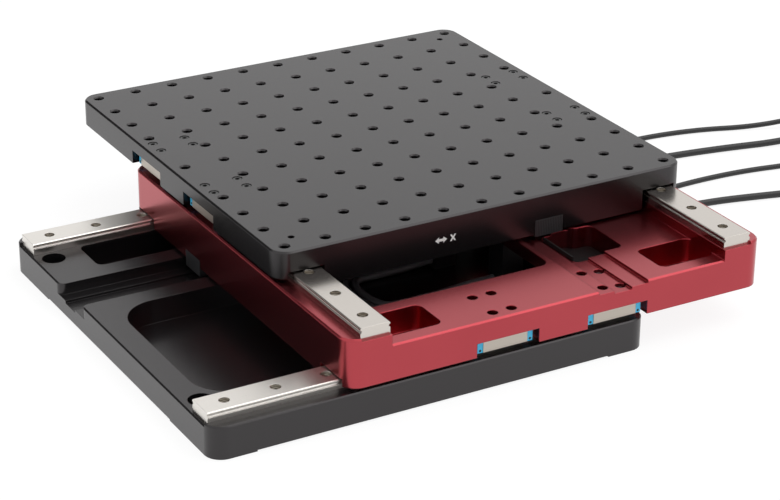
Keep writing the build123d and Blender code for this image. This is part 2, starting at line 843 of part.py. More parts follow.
# Strain reliefs on the base's right side, and the flying leads laid by hand from them
lead_start = half_side + gland_length
motor_table = motor_lead / 2 + table_gap
encoder_table = encoder_lead / 2 + table_gap
plug = connector_nut_diameter / 2 + table_gap
leads = {
    "x_motor": (motor_lead, [
        (lead_start, x_motor_gland_y, gland_height),
        (172, x_motor_gland_y, gland_height),
        (208, 103, motor_table),
        (255, 114, motor_table),
        (305, 119.5, motor_table),
        (352, 113.5, motor_table),
        (391, 99, motor_table),
        (424, 87, plug),
        (446, 81, plug),
    ]),
    "x_encoder": (encoder_lead, [
        (lead_start, x_encoder_gland_y, gland_height),
        (170, x_encoder_gland_y, gland_height),
        (203, 82, encoder_table),
        (250, 85.5, encoder_table),
        (300, 83.5, encoder_table),
        (348, 76.5, encoder_table),
        (390, 67, encoder_table),
        (424, 60, plug),
        (446, 57.5, plug),
    ]),
    "y_motor": (motor_lead, [
        (lead_start, y_motor_gland_y, gland_height),
        (171, y_motor_gland_y, gland_height),
        (200, 24, motor_table),
        (240, 34, motor_table),
        (288, 40.5, motor_table),
        (336, 39.5, motor_table),
        (378, 31, motor_table),
        (412, 25.5, plug),
        (434, 24.5, plug),
    ]),
    "y_encoder": (encoder_lead, [
        (lead_start, y_encoder_gland_y, gland_height),
        (170, y_encoder_gland_y, gland_height),
        (200, 6, encoder_table),
        (238, 10, encoder_table),
        (284, 8.5, encoder_table),
        (326, -1.5, encoder_table),
        (366, -13, encoder_table),
        (400, -19.5, plug),
        (422, -21.5, plug),
    ]),
}
with BuildPart() as cable_glands:
    for diameter, points in leads.values():
        foot = (half_side, *points[0][1:])
        with BuildSketch(Plane(origin=foot, x_dir=(1, 0, 0), z_dir=(0, -1, 0))):
            with BuildLine():
                Polyline(
                    (0, 0),
                    (0, gland_flange / 2),
                    (gland_flange_thickness, gland_flange / 2),
                    (gland_length, diameter / 2 + gland_wall),
                    (gland_length, 0),
                    close=True,
                )
            make_face()
        revolve(axis=Axis(foot, (1, 0, 0)))
save(cable_glands, "cable_glands")
for lead_name, (diameter, points) in leads.items():
    heading = Vector(*points[-1]) - Vector(*points[-2])
    save(make_lead(points, diameter), f"{lead_name}_cable")
    save(make_connector(points[-1], heading, diameter), f"{lead_name}_connector")
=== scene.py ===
# Motorized xy stage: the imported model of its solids, dressed with finishes, screws, cords and light.
# Every size is in metres unless a name or comment says millimetres.
import math

import bmesh
import bpy
from mathutils import Matrix, Vector


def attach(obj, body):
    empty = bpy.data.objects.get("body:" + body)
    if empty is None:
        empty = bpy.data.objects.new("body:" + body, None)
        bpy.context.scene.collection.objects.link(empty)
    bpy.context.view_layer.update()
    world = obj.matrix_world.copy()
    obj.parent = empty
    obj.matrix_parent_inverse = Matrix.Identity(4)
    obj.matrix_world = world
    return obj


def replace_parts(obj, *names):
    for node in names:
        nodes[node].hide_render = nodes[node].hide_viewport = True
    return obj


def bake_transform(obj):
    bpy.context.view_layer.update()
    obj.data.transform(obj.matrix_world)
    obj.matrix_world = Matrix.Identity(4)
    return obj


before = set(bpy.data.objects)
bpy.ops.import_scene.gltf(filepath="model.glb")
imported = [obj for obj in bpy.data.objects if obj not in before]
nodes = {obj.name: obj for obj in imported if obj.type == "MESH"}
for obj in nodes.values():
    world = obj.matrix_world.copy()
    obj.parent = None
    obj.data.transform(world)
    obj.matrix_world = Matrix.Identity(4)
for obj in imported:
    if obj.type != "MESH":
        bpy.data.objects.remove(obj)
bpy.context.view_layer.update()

scene = bpy.context.scene


def mm(value):
    return value / 1000


restShift = 79  # mm from the base's middle to the middle of the two moving plates, as in the photograph


def linear(code):  # sRGB hex to the linear colour that a shader takes
    channels = [int(code[i:i + 2], 16) / 255 for i in (1, 3, 5)]
    return tuple(c / 12.92 if c <= 0.04045 else ((c + 0.055) / 1.055) ** 2.4 for c in channels) + (1.0,)


# Camera, solved from the lattice holes and the rail holes in the photograph

cameraLook = {
    "place": (-0.5931, -1.1123, 0.6189),
    "turn": (65.166, -0.403, -29.711),  # degrees
    "lens": 110.82,
}


def makeCamera(look):
    data = bpy.data.cameras.new("stageCamera")
    data.lens = look["lens"]
    data.sensor_width = 36
    camera = bpy.data.objects.new("stageCamera", data)
    camera.location = look["place"]
    camera.rotation_euler = [math.radians(angle) for angle in look["turn"]]
    scene.collection.objects.link(camera)
    scene.camera = camera


makeCamera(cameraLook)
print("camera placed")

# Shared mesh helpers

def smoothLine(route):  # points along the NURBS spline whose control points are the route
    curve = bpy.data.curves.new("routeLine", "CURVE")
    curve.dimensions = "3D"
    curve.resolution_u = 14
    spline = curve.splines.new("NURBS")
    spline.points.add(len(route) - 1)
    for point, place in zip(spline.points, route):
        point.co = (*place, 1)
    spline.order_u = 3
    spline.use_endpoint_u = True
    holder = bpy.data.objects.new("routeLine", curve)
    scene.collection.objects.link(holder)
    line = bpy.data.meshes.new_from_object(holder)
    points = [vertex.co.copy() for vertex in line.vertices]
    bpy.data.objects.remove(holder)
    bpy.data.curves.remove(curve)
    bpy.data.meshes.remove(line)
    return points


def makePiece(name, form, body, sharpAngle=35):  # turns a bmesh into a piece that rides on a body
    mesh = bpy.data.meshes.new(name)
    bmesh.ops.recalc_face_normals(form, faces=form.faces)
    form.to_mesh(mesh)
    form.free()
    mesh.shade_smooth()
    mesh.set_sharp_from_angle(angle=math.radians(sharpAngle))
    piece = bpy.data.objects.new(name, mesh)
    scene.collection.objects.link(piece)
    if body:
        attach(piece, body)
    return piece


def addTube(form, line, radius, sides=20):  # round jacket along a line, its frame carried from point to point
    side = Vector((0, 0, 1)).cross(line[1] - line[0]).normalized()
    rings = []
    for index, point in enumerate(line):
        before, after = line[max(index - 1, 0)], line[min(index + 1, len(line) - 1)]
        heading = (after - before).normalized()
        side = (side - heading * side.dot(heading)).normalized()
        over = heading.cross(side)
        ring = []
        for step in range(sides):
            angle = math.tau * step / sides
            ring.append(form.verts.new(point + radius * (side * math.cos(angle) + over * math.sin(angle))))
        rings.append(ring)
    bridgeRings(form, rings)


def bridgeRings(form, rings):
    count = len(rings[0])
    for near, far in zip(rings, rings[1:]):
        for step in range(count):
            following = (step + 1) % count
            form.faces.new((near[step], near[following], far[following], far[step]))
    form.faces.new(rings[0][::-1])
    form.faces.new(rings[-1])


def addTurned(form, profile, matrix, segments=48):
    # Rings along local Z: (height, radius) for a circle. A third value is "hex", where the radius is then the
    # size across flats, or the tooth depth of a knurl
    rings = []
    for height, radius, *shape in profile:
        ring = []
        for step in range(segments):
            angle = math.tau * step / segments
            reach = radius
            if shape and shape[0] == "hex":
                reach = radius / 2 / math.cos((angle + math.pi / 6) % (math.pi / 3) - math.pi / 6)
            elif shape:
                reach = radius - shape[0] * (step % 2)
            corner = Vector((reach * math.cos(angle), reach * math.sin(angle), height))
            ring.append(form.verts.new(matrix @ corner))
        rings.append(ring)
    bridgeRings(form, rings)


def aimed(place, heading):  # matrix that stands a turned piece at a place, along a heading
    return Matrix.Translation(place) @ Vector(heading).to_track_quat("Z", "Y").to_matrix().to_4x4()


# Flying leads, each from its strain relief to its connector: thin for the motors, thicker for the encoders

leadLook = {
    "motorDiameter": 0.0036,
    "encoderDiameter": 0.0046,
    "height": 0.0095,  # z of the strain reliefs
    "motorFloor": 0.0019,  # z of a thin lead's middle where it lies on the table
    "encoderFloor": 0.0024,
    "plugFloor": 0.0069,  # z of a connector's middle
}
up, plug = leadLook["height"], leadLook["plugFloor"]
thin, thick = leadLook["motorFloor"], leadLook["encoderFloor"]
leadRoutes = {  # length, diameter and control points
    "x_motor": (0.3092, leadLook["motorDiameter"], [
        (0.145, 0.098, up), (0.172, 0.098, up), (0.208, 0.103, thin), (0.255, 0.114, thin),
        (0.305, 0.1195, thin), (0.352, 0.1135, thin), (0.391, 0.099, thin), (0.424, 0.087, plug),
        (0.446, 0.081, plug),
    ]),
    "x_encoder": (0.3043, leadLook["encoderDiameter"], [
        (0.145, 0.080, up), (0.170, 0.080, up), (0.203, 0.082, thick), (0.250, 0.0855, thick),
        (0.300, 0.0835, thick), (0.348, 0.0765, thick), (0.390, 0.067, thick), (0.424, 0.060, plug),
        (0.446, 0.0575, plug),
    ]),
    "y_motor": (0.2932, leadLook["motorDiameter"], [
        (0.145, 0.018, up), (0.171, 0.018, up), (0.200, 0.024, thin), (0.240, 0.034, thin),
        (0.288, 0.0405, thin), (0.336, 0.0395, thin), (0.378, 0.031, thin), (0.412, 0.0255, plug),
        (0.434, 0.0245, plug),
    ]),
    "y_encoder": (0.2814, leadLook["encoderDiameter"], [
        (0.145, 0.004, up), (0.170, 0.004, up), (0.200, 0.006, thick), (0.238, 0.010, thick),
        (0.284, 0.0085, thick), (0.326, -0.0015, thick), (0.366, -0.013, thick), (0.400, -0.0195, plug),
        (0.422, -0.0215, plug),
    ]),
}

# Round connectors: rubber boot, nickel shell with a knurled nut, and a dark insert with pins

connectorLook = {
    "radius": 6.0, "nutRadius": 6.8, "length": 36.0, "boot": 9.0, "nutStart": 26.0,  # mm
    "bootWall": 0.6, "bootGrooves": (1.6, 3.6, 5.6), "knurl": 0.32,
    "mouth": 5.3, "insertDepth": 3.5, "pins": 6, "pinCircle": 3.0, "pinRadius": 0.5,
}


def makeConnector(name, tip, heading, diameter):
    look = connectorLook
    stand = aimed(tip, heading) @ Matrix.Scale(0.001, 4)
    neck = diameter / 2 * 1000 + look["bootWall"]
    grow = (look["radius"] - neck) / look["boot"]
    bootRings = [(0, neck - 0.3), (0.3, neck)]
    for start in look["bootGrooves"]:  # they let the boot flex
        outer = neck + grow * start
        bootRings += [
            (start, outer), (start + 0.2, outer - 0.5), (start + 0.9, outer - 0.4),
            (start + 1.1, neck + grow * (start + 1.1)),
        ]
    bootRings += [(look["boot"], look["radius"] - 0.2)]
    boot = bmesh.new()
    addTurned(boot, bootRings, stand)
    shell = bmesh.new()
    body, nut, start, end = look["radius"], look["nutRadius"], look["nutStart"], look["length"]
    floor, mouth, knurl = end - look["insertDepth"], look["mouth"], look["knurl"]
    addTurned(shell, [  # barrel with a groove behind its middle
        (look["boot"] - 0.4, body - 0.5), (look["boot"], body - 0.4), (look["boot"] + 0.4, body), (13.5, body),
        (13.7, body - 0.35), (14.5, body - 0.35), (14.7, body), (20.5, body), (20.7, body - 0.2),
        (start - 0.4, body - 0.2), (start, body - 0.2),
    ], stand)
    addTurned(shell, [  # knurled nut, open in front
        (start, body - 0.4), (start, nut - 0.5), (start + 0.5, nut, 0.0), (start + 1.2, nut, knurl),
        (end - 1.8, nut, knurl), (end - 1.1, nut, 0.0), (end - 0.4, nut), (end, nut - 0.5), (end, mouth + 0.3),
        (end - 0.3, mouth), (floor - 0.2, mouth), (floor - 0.2, 1.0),
    ], stand, segments=72)
    insert = bmesh.new()
    addTurned(insert, [
        (floor - 0.15, 1.0), (floor - 0.15, mouth - 0.1), (floor, mouth - 0.25), (floor, 4.4),
        (floor + 0.3, 4.2), (floor + 0.3, 0.4),
    ], stand)
    pins = bmesh.new()
    circle, reach = look["pinCircle"], look["pinRadius"]
    for step in range(look["pins"]):
        angle = math.tau * step / look["pins"]
        spot = Matrix.Translation((circle * math.cos(angle), circle * math.sin(angle), 0))
        addTurned(pins, [
            (floor, reach * 0.8), (floor + 0.2, reach), (end - 1.1, reach), (end - 0.8, reach * 0.6),
        ], stand @ spot, segments=12)
    pieces = {
        "connector_metal": makePiece(f"{name}_shell", shell, "base"),
        "gland_black": makePiece(f"{name}_boot", boot, "base"),
        "head_black": makePiece(f"{name}_insert", insert, "base"),
        "pin_gold": makePiece(f"{name}_pins", pins, "base"),
    }
    for finish, piece in pieces.items():
        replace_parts(piece, f"{name}_connector")
        painted.append((piece, finish))
    return list(pieces.values())


painted = []  # pieces waiting for their finishes
for leadName, (leadLength, leadDiameter, leadRoute) in leadRoutes.items():
    leadLine = smoothLine(leadRoute)
    leadForm = bmesh.new()
    addTube(leadForm, leadLine, leadDiameter / 2)
    lead = makePiece(f"{leadName}_lead", leadForm, "base", sharpAngle=60)
    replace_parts(lead, f"{leadName}_cable")
    painted.append((lead, "cable_jacket"))
    leadHeading = Vector(leadRoute[-1]) - Vector(leadRoute[-2])
    connector = makeConnector(leadName, leadRoute[-1], leadHeading, leadDiameter)
print("leads laid:", len(leadRoutes))

# Cable loops in the base pocket, from the base's clamp to the middle plate's, each laid at rest as one piece
# that rides on no body

# fixed and moving are the y of the two runs, turn is the x of the bend, floor the z of a run's middle
loopLook = {
    "y_motor": {"diameter": 0.0036, "fixed": 0.0155, "moving": -0.0345, "turn": 0.0186, "floor": 0.0046},
    "y_encoder": {"diameter": 0.0046, "fixed": 0.0105, "moving": -0.0295, "turn": 0.0236, "floor": 0.0051},
    "fixedEnd": 0.095, "movingEnd": 0.100, "clampHeight": 0.007,  # x, x and z
}


def makeLoop(name, look):
    fixedEnd, movingEnd, held = loopLook["fixedEnd"], loopLook["movingEnd"], loopLook["clampHeight"]
    fixed, moving, turn, low = look["fixed"], look["moving"], look["turn"], look["floor"]
    line = smoothLine([
        (fixedEnd, fixed, held), (0.082, fixed, held), (0.062, fixed, low), (0.044, fixed, low),
        (turn, fixed, low), (turn, moving, low),
        (0.044, moving, low), (0.066, moving, low), (0.086, moving, held), (movingEnd, moving, held),
    ])
    form = bmesh.new()
    addTube(form, line, look["diameter"] / 2)
    loop = makePiece(f"{name}_cable_loop", form, None, sharpAngle=60)
    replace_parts(loop, f"{name}_loop")
    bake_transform(loop)
    # a jacket painted lighter than its lead's, as a painted highlight
    painted.append((loop, "loop_jacket"))
    return sum((after - before).length for before, after in zip(line, line[1:]))


for loopName in ("y_motor", "y_encoder"):
    print("loop laid:", loopName, round(makeLoop(loopName, loopLook[loopName]), 4))

# Strain reliefs on the base's right side

glandLook = {
    "face": 0.136, "height": 0.0095,  # x of the base's side and z of the middle
    "flange": 5.0, "flangeThickness": 2.5, "length": 9.0, "wall": 1.1,  # mm
    "grooves": (3.4, 5.0, 6.6),  # mm from the base's side
    "places": {0.098: 3.6, 0.080: 4.6, 0.018: 3.6, 0.004: 4.6},  # y of each, and its lead's diameter in mm
}


def makeGlands(look):
    form = bmesh.new()
    for place, diameter in look["places"].items():
        neck, thickness, length = diameter / 2 + look["wall"], look["flangeThickness"], look["length"]
        rings = [
            (0, look["flange"] - 0.1), (thickness - 0.5, look["flange"]), (thickness, look["flange"] - 0.5),
            (thickness, neck + 0.5), (thickness + 0.3, neck + 0.1),
        ]
        for start in look["grooves"]:  # grooves between soft ribs, which let the lead flex
            rings += [
                (start, neck), (start + 0.15, neck - 0.45), (start + 0.75, neck - 0.45),
                (start + 0.9, neck - 0.05),
            ]
        rings += [
            (length - 0.3, neck - 0.1), (length, neck - 0.4), (length, diameter / 2 + 0.05),
            (length - 1.0, diameter / 2 + 0.02),
        ]
        stand = aimed((look["face"], place, look["height"]), (1, 0, 0)) @ Matrix.Scale(0.001, 4)
        addTurned(form, rings, stand)
    glands = makePiece("lead_strain_reliefs", form, "base")
    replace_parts(glands, "cable_glands")
    painted.append((glands, "gland_black"))


makeGlands(glandLook)

# Cap screws with hex sockets, in the rails and down through the plates into the carriages

screwLook = {
    "headRadius": 2.75, "headHeight": 3.0, "shankRadius": 1.5, "socket": 2.5, "socketDepth": 1.3,  # mm, M3
    "railShank": 8.5, "carriageShank": 8.1,
    "baseRailHead": 20.0, "midRailHead": 50.75,  # z of the heads' undersides
    "xCarriageHead": 34.1, "yCarriageHead": 64.85,
    "railSpots": [(run, side) for side in (-118, 118) for run in range(-120, 121, 30)],
    "carriageSpots": [
        (centre + along, side + across)
        for centre in (-36, 36) for side in (-118, 118) for along in (-6, 6) for across in (-10.5, 10.5)
    ],
}


def makeScrews(name, spots, headLow, shank, body, finish):
    look = screwLook
    head, socket, rim = look["headHeight"], look["socket"], look["headRadius"]
    bottom = head - look["socketDepth"]
    form = bmesh.new()
    for number, (x, y) in enumerate(spots):
        turn = Matrix.Rotation(math.radians(37 * number), 4, "Z")  # no two sockets stand the same way
        addTurned(form, [
            (-shank, look["shankRadius"] - 0.3), (-shank + 0.3, look["shankRadius"]), (0, look["shankRadius"]),
            (0, rim - 0.2), (0.2, rim), (head - 0.35, rim), (head - 0.1, rim - 0.12), (head, rim - 0.35),
            (head, socket / 2 + 0.32), (head - 0.12, socket, "hex"), (bottom, socket, "hex"),
            (bottom - 0.1, 1.0), (bottom - 0.45, 0.05),
        ], Matrix.Scale(0.001, 4) @ Matrix.Translation((x, y, headLow)) @ turn)
    screws = makePiece(name, form, body, sharpAngle=28)
    painted.append((screws, finish))
    return screws


railSpots, carriageSpots = screwLook["railSpots"], screwLook["carriageSpots"]
railShank, carriageShank = screwLook["railShank"], screwLook["carriageShank"]
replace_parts(makeScrews(
    "base_rail_cap_screws", railSpots,
    screwLook["baseRailHead"], railShank, "base", "rail_screw_steel",
), "base_rail_screws")
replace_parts(makeScrews(
    "mid_rail_cap_screws", [(restShift + side, run) for run, side in railSpots],
    screwLook["midRailHead"], railShank, "mid", "rail_screw_steel",
), "mid_rail_screws")
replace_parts(makeScrews(
    "x_carriage_cap_screws", [(restShift + run, side) for run, side in carriageSpots],
    screwLook["xCarriageHead"], carriageShank, "mid", "screw_steel",
), "x_carriage_screws")
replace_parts(makeScrews(
    "y_carriage_cap_screws", [(restShift + side, restShift + run) for run, side in carriageSpots],
    screwLook["yCarriageHead"], carriageShank, "top", "screw_steel",
), "y_carriage_screws")
print("screws set")

# Grease ports on the outer side of every blue end cap

portLook = {
    "radius": 0.75, "hole": 0.4, "proud": 0.12,  # mm
    "fromCarriage": 16.0,  # mm along the rail, from a carriage's middle to a port
    "capSide": 132.6,  # mm from the middle between the rails to a cap's outer side
    "aboveSeat": 5.4, "xSeat": 17.5, "ySeat": 48.25,  # mm, and z of the faces that the rails are screwed to
}


def makePorts(name, spots, heading, body):
    radius, hole, proud = portLook["radius"], portLook["hole"], portLook["proud"]
    form = bmesh.new()
    for place in spots:
        addTurned(form, [
            (-0.2, radius), (proud - 0.04, radius), (proud, radius - 0.05), (proud, hole), (0.03, hole - 0.08),
        ], aimed([mm(v) for v in place], heading(place)) @ Matrix.Scale(0.001, 4), segments=20)
    ports = makePiece(name, form, body)
    painted.append((ports, "head_black"))


capSpots = [
    (centre + end * portLook["fromCarriage"], side * portLook["capSide"])
    for centre in (-36, 36) for end in (-1, 1) for side in (-1, 1)
]
xPortHeight = portLook["xSeat"] + portLook["aboveSeat"]
yPortHeight = portLook["ySeat"] + portLook["aboveSeat"]
makePorts(
    "x_cap_ports", [(restShift + run, side, xPortHeight) for run, side in capSpots],
    lambda place: (0, place[1], 0), "mid",
)
makePorts(
    "y_cap_ports", [(restShift + side, restShift + run, yPortHeight) for run, side in capSpots],
    lambda place: (place[0] - restShift, 0, 0), "top",
)

# Axis mark printed on the top plate's front face: a double arrow and the letter of the axis

markLook = {
    "face": -57.0, "middle": 54.3, "film": 0.03,  # mm
    "arrow": (43.0, 50.9, 1.95, 2.5, 0.8),  # left, right, half height and length of the heads, half the shaft
    "letter": (52.8, 56.8, 2.05, 1.15),  # left, right, half height, width of a stroke
}


def makeMark(look):
    left, right, tall, head, shaft = look["arrow"]
    middle = look["middle"]
    arrow = [
        (left, 0), (left + head, tall), (left + head, shaft), (right - head, shaft), (right - head, tall),
        (right, 0), (right - head, -tall), (right - head, -shaft), (left + head, -shaft), (left + head, -tall),
    ]
    first, last, high, stroke = look["letter"]
    centre, notch = (first + last) / 2, stroke * 0.62
    letter = [
        (first, high), (first + stroke, high), (centre, notch), (last - stroke, high), (last, high),
        (centre + notch, 0), (last, -high), (last - stroke, -high), (centre, -notch), (first + stroke, -high),
        (first, -high), (centre - notch, 0),
    ]
    form = bmesh.new()
    for outline in (arrow, letter):
        corners = [form.verts.new((mm(x), mm(look["face"]), mm(middle + z))) for x, z in outline]
        face = form.faces.new(corners)
        grown = bmesh.ops.extrude_face_region(form, geom=[face])
        moved = [item for item in grown["geom"] if isinstance(item, bmesh.types.BMVert)]
        bmesh.ops.translate(form, verts=moved, vec=(0, mm(-look["film"]), 0))
    mark = makePiece("axis_mark", form, "top")
    painted.append((mark, "white_ink"))


makeMark(markLook)
print("small parts made")


# Finishes

def addNode(material, kind, links, **settings):
    node = material.node_tree.nodes.new(kind)
    for key, value in settings.items():
        setattr(node, key, value)
    for socket, value in links.items():
        if isinstance(value, bpy.types.NodeSocket):
            material.node_tree.links.new(value, node.inputs[socket])
        else:
            node.inputs[socket].default_value = value
    return node


def startMaterial(name, **values):
    material = bpy.data.materials.new(name)
    material.use_nodes = True
    shader = material.node_tree.nodes["Principled BSDF"]
    for socket, value in values.items():
        shader.inputs[socket.replace("_", " ")].default_value = value
    return material, shader


def link(material, source, target):
    material.node_tree.links.new(source, target)


finishLook = {
    "blackBase": "#0d0c0d",
    "blackPatch": "#121112",
    "blackRoughness": 0.26,
    "redBase": "#b0434a",
    "redPatch": "#a63b43",
    "redRoughness": 0.27,
    "railSteelX": "#e4e0da",
    "railSteelY": "#cdc7c0",  # these stand across the light and look darker
    "carriageSteel": "#b6aea4",
    "capBlue": "#4ccfff",
    "edgeRound": 0.4,  # mm, radius that catches light on a machined edge
    "redEdgeRound": 0.8,  # mm, the red plate's edges are broken more
    "blastGrain": 0.9,  # mm; real bead blasting is near 0.1 mm, drawn coarser so that it shows
    "grindLine": 0.35,  # mm between grinding marks; real ones are finer and wouldn't show
    "plugRib": 1.0,  # mm between the ribs of a track plug
}


def objectPlace(material):
    return addNode(material, "ShaderNodeTexCoord", {}).outputs["Object"]


def roundedNormal(material, radius=finishLook["edgeRound"]):
    return addNode(material, "ShaderNodeBevel", {"Radius": mm(radius)}, samples=4).outputs["Normal"]


def blastedSkin(material, shader, base, patch, cloudSize, strength, edgeRound):
    # What bead blasting and the dye leave: faint clouds in the colour, a fine grain and broken edges
    place = objectPlace(material)
    cloud = addNode(
        material, "ShaderNodeTexNoise", {"Vector": place, "Scale": 1 / mm(cloudSize), "Detail": 3.0},
    )
    tone = addNode(
        material, "ShaderNodeMix", {"Factor": cloud.outputs["Fac"], "A": linear(base), "B": linear(patch)},
        data_type="RGBA",
    )
    link(material, tone.outputs["Result"], shader.inputs["Base Color"])
    grain = addNode(
        material, "ShaderNodeTexNoise",
        {"Vector": place, "Scale": 1 / mm(finishLook["blastGrain"]), "Detail": 2.0},
    )
    rounded = roundedNormal(material, edgeRound)
    bump = addNode(
        material, "ShaderNodeBump",
        {"Strength": strength, "Distance": mm(0.02), "Height": grain.outputs["Fac"], "Normal": rounded},
    )
    link(material, bump.outputs["Normal"], shader.inputs["Normal"])


def blackAnodised():
    # Aluminium, bead blasted and anodised black: a matt dark skin that turns grey towards a bright sky
    look = finishLook
    material, shader = startMaterial("blackAnodisedAluminium", Roughness=look["blackRoughness"], IOR=1.57)
    shader.inputs["Specular Tint"].default_value = (1, 0.95, 0.965, 1)  # the dye leaves a faint warm sheen
    blastedSkin(material, shader, look["blackBase"], look["blackPatch"], 60, 0.12, look["edgeRound"])
    return material


def redAnodised():
    # Aluminium, bead blasted and dyed red: the metal shines through the dye, so its highlights stay red
    look = finishLook
    material, shader = startMaterial(
        "redAnodisedAluminium", Metallic=1.0, Roughness=look["redRoughness"], Coat_Weight=0.2,
        Coat_Roughness=0.2, Coat_IOR=1.6,
    )
    blastedSkin(material, shader, look["redBase"], look["redPatch"], 50, 0.15, look["redEdgeRound"])
    return material


def groundSteel(name, colour, roughness, along):
    # Hardened steel, ground along its length: fine parallel lines and a soft streaked shine
    material, shader = startMaterial(name, Metallic=1.0, Roughness=roughness)
    place = objectPlace(material)
    scale = [1 / mm(finishLook["grindLine"])] * 3
    scale[along] = 1 / mm(40)  # how long a grinding mark runs
    stretched = addNode(material, "ShaderNodeMapping", {"Vector": place, "Scale": scale})
    lines = addNode(
        material, "ShaderNodeTexNoise", {"Vector": stretched.outputs["Vector"], "Scale": 1.0, "Detail": 2.0},
    )
    shade = addNode(
        material, "ShaderNodeMapRange",
        {"Value": lines.outputs["Fac"], "To Min": roughness - 0.06, "To Max": roughness + 0.08},
    )
    link(material, shade.outputs["Result"], shader.inputs["Roughness"])
    shader.inputs["Base Color"].default_value = linear(colour)
    bump = addNode(
        material, "ShaderNodeBump",
        {
            "Strength": 0.1, "Distance": mm(0.01), "Height": lines.outputs["Fac"],
            "Normal": roundedNormal(material),
        },
    )
    link(material, bump.outputs["Normal"], shader.inputs["Normal"])
    return material


def mouldedPlastic(name, colour, roughness, grainSize, strength, shine=0.5):
    # Injection moulded plastic: an even colour under a fine spark-eroded skin
    material, shader = startMaterial(name, Roughness=roughness, IOR=1.5, Specular_IOR_Level=shine)
    place = objectPlace(material)
    grain = addNode(
        material, "ShaderNodeTexNoise", {"Vector": place, "Scale": 1 / mm(grainSize), "Detail": 3.0},
    )
    value = addNode(
        material, "ShaderNodeMapRange", {"Value": grain.outputs["Fac"], "To Min": 0.92, "To Max": 1.08},
    )
    tint = addNode(
        material, "ShaderNodeHueSaturation", {"Color": linear(colour), "Value": value.outputs["Result"]},
    )
    link(material, tint.outputs["Color"], shader.inputs["Base Color"])
    bump = addNode(
        material, "ShaderNodeBump",
        {
            "Strength": strength, "Distance": mm(0.03), "Height": grain.outputs["Fac"],
            "Normal": roundedNormal(material),
        },
    )
    link(material, bump.outputs["Normal"], shader.inputs["Normal"])
    return material


def blackOxide():
    # Alloy steel, black oxide finish, lightly oiled: as dark as the plate around it, with a cloudy shine
    material, shader = startMaterial("blackOxideSteel", Roughness=0.3, IOR=1.6)
    place = objectPlace(material)
    cloud = addNode(material, "ShaderNodeTexNoise", {"Vector": place, "Scale": 1 / mm(2), "Detail": 4.0})
    shade = addNode(
        material, "ShaderNodeMapRange", {"Value": cloud.outputs["Fac"], "To Min": 0.22, "To Max": 0.4},
    )
    link(material, shade.outputs["Result"], shader.inputs["Roughness"])
    shader.inputs["Base Color"].default_value = linear("#121113")
    return material


def ribbedPlug():
    # Filled nylon plug, moulded with fine upright ribs; its grey is painted in light and dark bands that follow
    # the ribs, a painted highlight and shade, and is a shade lighter than the plate around it
    material, shader = startMaterial("ribbedTrackPlug", Roughness=0.42, IOR=1.5)
    place = objectPlace(material)
    level = addNode(material, "ShaderNodeMapping", {"Vector": place, "Scale": (1, 1, 0)})  # upright ribs
    waveScale = math.tau / 20 / mm(finishLook["plugRib"]) * math.sqrt(3)  # in the wave texture's own units
    ribs = addNode(
        material, "ShaderNodeTexWave", {"Vector": level.outputs["Vector"], "Scale": waveScale},
        wave_type="BANDS", bands_direction="DIAGONAL", wave_profile="SIN",
    )
    # light and dark bands along the ribs: painted highlight and shade
    tint = addNode(
        material, "ShaderNodeMix",
        {"Factor": ribs.outputs["Fac"], "A": linear("#1b1b1c"), "B": linear("#333335")}, data_type="RGBA",
    )
    link(material, tint.outputs["Result"], shader.inputs["Base Color"])
    bump = addNode(
        material, "ShaderNodeBump",
        {
            "Strength": 0.5, "Distance": mm(0.2), "Height": ribs.outputs["Fac"],
            "Normal": roundedNormal(material),
        },
    )
    link(material, bump.outputs["Normal"], shader.inputs["Normal"])
    return material


def plainMetal(name, colour, roughness, spotSize):
    # Plated or machined metal with faint cloudy differences in its shine
    material, shader = startMaterial(name, Metallic=1.0, Roughness=roughness)
    place = objectPlace(material)
    cloud = addNode(material, "ShaderNodeTexNoise", {"Vector": place, "Scale": 1 / mm(spotSize), "Detail": 4.0})
    shade = addNode(
        material, "ShaderNodeMapRange",
        {"Value": cloud.outputs["Fac"], "To Min": roughness - 0.08, "To Max": roughness + 0.1},
    )
    link(material, shade.outputs["Result"], shader.inputs["Roughness"])
    shader.inputs["Base Color"].default_value = linear(colour)
    link(material, roundedNormal(material), shader.inputs["Normal"])
    return material


